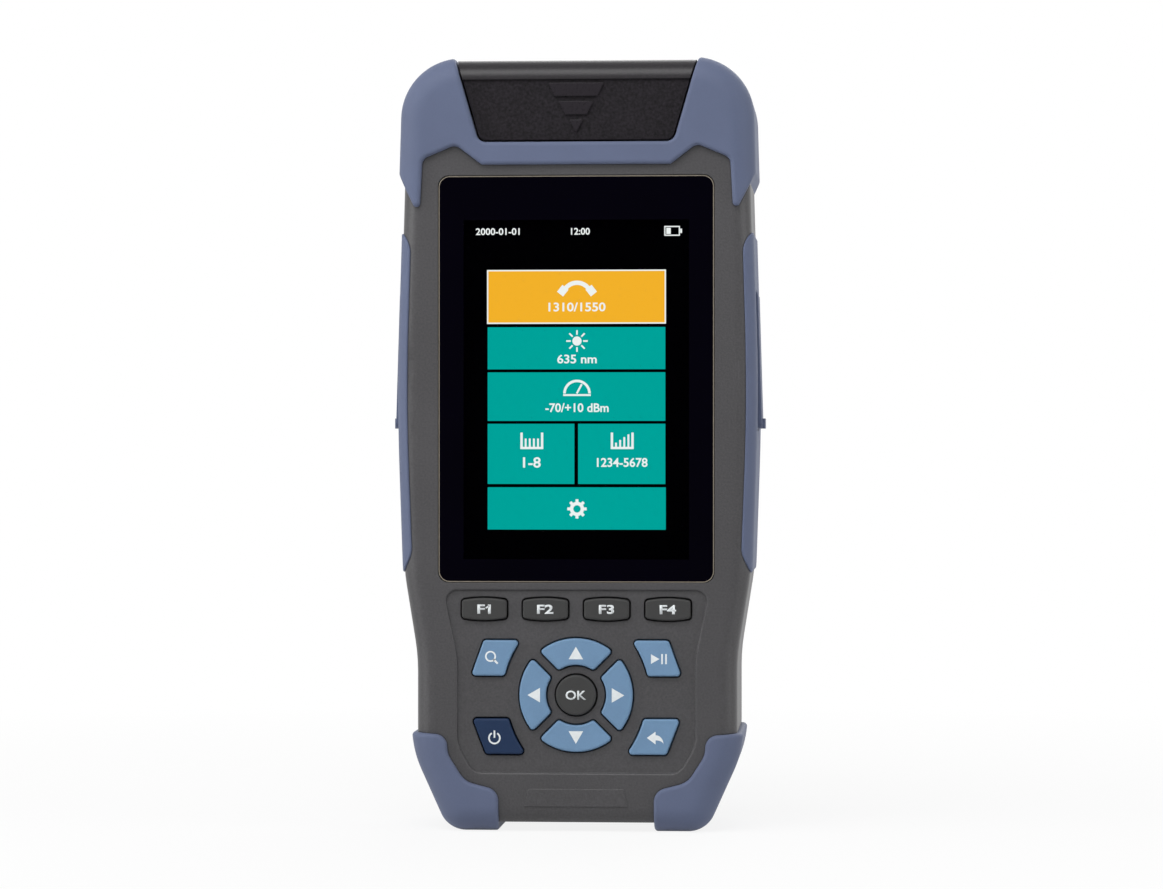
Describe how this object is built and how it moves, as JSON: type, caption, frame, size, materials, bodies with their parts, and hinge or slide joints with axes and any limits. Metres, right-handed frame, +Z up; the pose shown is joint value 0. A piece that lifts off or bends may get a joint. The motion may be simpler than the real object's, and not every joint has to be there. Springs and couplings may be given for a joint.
{
  "type": "handheld optical fibre tester",
  "caption": "Handheld optical fibre tester with a colour display, keypad, soft corner bumpers, a hinged dust cover over its optical ports and rubber side flaps.",
  "frame": {"origin": "centre of the base, on the plane that the corner bumpers stand on", "axes": "+Z up along the case, front with display and keys facing -Y, +X to the right seen from the front"},
  "size_m": [0.0814, 0.0426, 0.1681],
  "materials": {
    "case_grey": "fine matt texture",
    "bumper_blue": "soft matt",
    "cover_black": "fine grain",
    "key_blue": "matt with printed symbol",
    "key_navy": "matt with printed symbol",
    "key_grey": "matt with printed legend",
    "lens": "gloss with a black printed border",
    "gasket_black": "matt",
    "display": "lit colour display",
    "backlight_white": "white reflector",
    "board_green": "solder mask",
    "mat_grey": "silicone",
    "steel": "bright",
    "nickel": "nickel plate",
    "gold": "gold plate",
    "brass": "turned",
    "aluminium": "milled",
    "socket_black": "moulded",
    "battery_sleeve": "shrink sleeve"
  },
  "bodies": {
    "case": {"front_shell": "case_grey", "rear_shell": "case_grey", "top_bumper": "bumper_blue", "left_corner_bumper": "bumper_blue", "right_corner_bumper": "bumper_blue", "left_side_grip": "bumper_blue", "right_side_grip": "bumper_blue", "window_lens": "lens", "lens_gasket": "gasket_black", "display_panel": "display", "display_backlight": "backlight_white", "main_board": "board_green", "board_screws": "steel", "keypad_mat": "mat_grey", "dome_switches": "steel", "buzzer": "socket_black", "port_plate": "cover_black", "port_plate_screws": "steel", "talk_set_adapter": "nickel", "power_meter_adapter": "nickel", "fault_locator_adapter": "nickel", "talk_set_module": "aluminium", "photodiode": "steel", "fault_locator_laser": "brass", "cover_hinge_pin": "steel", "network_jack": "socket_black", "network_jack_contacts": "gold", "charging_socket": "steel", "charging_socket_tongue": "socket_black", "battery_pack": "battery_sleeve", "battery_door": "case_grey", "battery_door_screws": "steel", "case_screws": "steel"},
    "dust_cover": {"dust_cover": "cover_black"},
    "left_port_flap": {"left_port_flap": "bumper_blue"},
    "right_port_flap": {"right_port_flap": "bumper_blue"},
    "key_f1": {"key_f1": "key_grey"},
    "key_f2": {"key_f2": "key_grey"},
    "key_f3": {"key_f3": "key_grey"},
    "key_f4": {"key_f4": "key_grey"},
    "key_ok": {"key_ok": "key_grey"},
    "key_search": {"key_search": "key_blue"},
    "key_play_pause": {"key_play_pause": "key_blue"},
    "key_return": {"key_return": "key_blue"},
    "key_power": {"key_power": "key_navy"},
    "key_up": {"key_up": "key_blue"},
    "key_down": {"key_down": "key_blue"},
    "key_left": {"key_left": "key_blue"},
    "key_right": {"key_right": "key_blue"}
  },
  "joints": [
    {"name": "dust_cover_hinge", "type": "hinge", "parent": "case", "child": "dust_cover", "pos_m": [0, 0.0154, 0.16301], "axis": [-1, 0, 0], "range_deg": [0, 105]},
    {"name": "left_flap_hinge", "type": "hinge", "parent": "case", "child": "left_port_flap", "pos_m": [-0.03829, -0.00505, 0.11636], "axis": [0, 1, 0], "range_deg": [0, 100]},
    {"name": "right_flap_hinge", "type": "hinge", "parent": "case", "child": "right_port_flap", "pos_m": [0.03829, -0.00505, 0.11636], "axis": [0, -1, 0], "range_deg": [0, 100]},
    {"name": "key_f1_press", "type": "slide", "parent": "case", "child": "key_f1", "axis": [0, 1, 0], "range_m": [0, 0.0009], "stiffness_N_per_m": 1500},
    {"name": "key_f2_press", "type": "slide", "parent": "case", "child": "key_f2", "axis": [0, 1, 0], "range_m": [0, 0.0009], "stiffness_N_per_m": 1500},
    {"name": "key_f3_press", "type": "slide", "parent": "case", "child": "key_f3", "axis": [0, 1, 0], "range_m": [0, 0.0009], "stiffness_N_per_m": 1500},
    {"name": "key_f4_press", "type": "slide", "parent": "case", "child": "key_f4", "axis": [0, 1, 0], "range_m": [0, 0.0009], "stiffness_N_per_m": 1500},
    {"name": "key_ok_press", "type": "slide", "parent": "case", "child": "key_ok", "axis": [0, 1, 0], "range_m": [0, 0.0009], "stiffness_N_per_m": 1500},
    {"name": "key_search_press", "type": "slide", "parent": "case", "child": "key_search", "axis": [0, 1, 0], "range_m": [0, 0.0009], "stiffness_N_per_m": 1500},
    {"name": "key_play_pause_press", "type": "slide", "parent": "case", "child": "key_play_pause", "axis": [0, 1, 0], "range_m": [0, 0.0009], "stiffness_N_per_m": 1500},
    {"name": "key_return_press", "type": "slide", "parent": "case", "child": "key_return", "axis": [0, 1, 0], "range_m": [0, 0.0009], "stiffness_N_per_m": 1500},
    {"name": "key_power_press", "type": "slide", "parent": "case", "child": "key_power", "axis": [0, 1, 0], "range_m": [0, 0.0009], "stiffness_N_per_m": 1500},
    {"name": "key_up_press", "type": "slide", "parent": "case", "child": "key_up", "axis": [0, 1, 0], "range_m": [0, 0.0009], "stiffness_N_per_m": 1500},
    {"name": "key_down_press", "type": "slide", "parent": "case", "child": "key_down", "axis": [0, 1, 0], "range_m": [0, 0.0009], "stiffness_N_per_m": 1500},
    {"name": "key_left_press", "type": "slide", "parent": "case", "child": "key_left", "axis": [0, 1, 0], "range_m": [0, 0.0009], "stiffness_N_per_m": 1500},
    {"name": "key_right_press", "type": "slide", "parent": "case", "child": "key_right", "axis": [0, 1, 0], "range_m": [0, 0.0009], "stiffness_N_per_m": 1500}
  ]
}
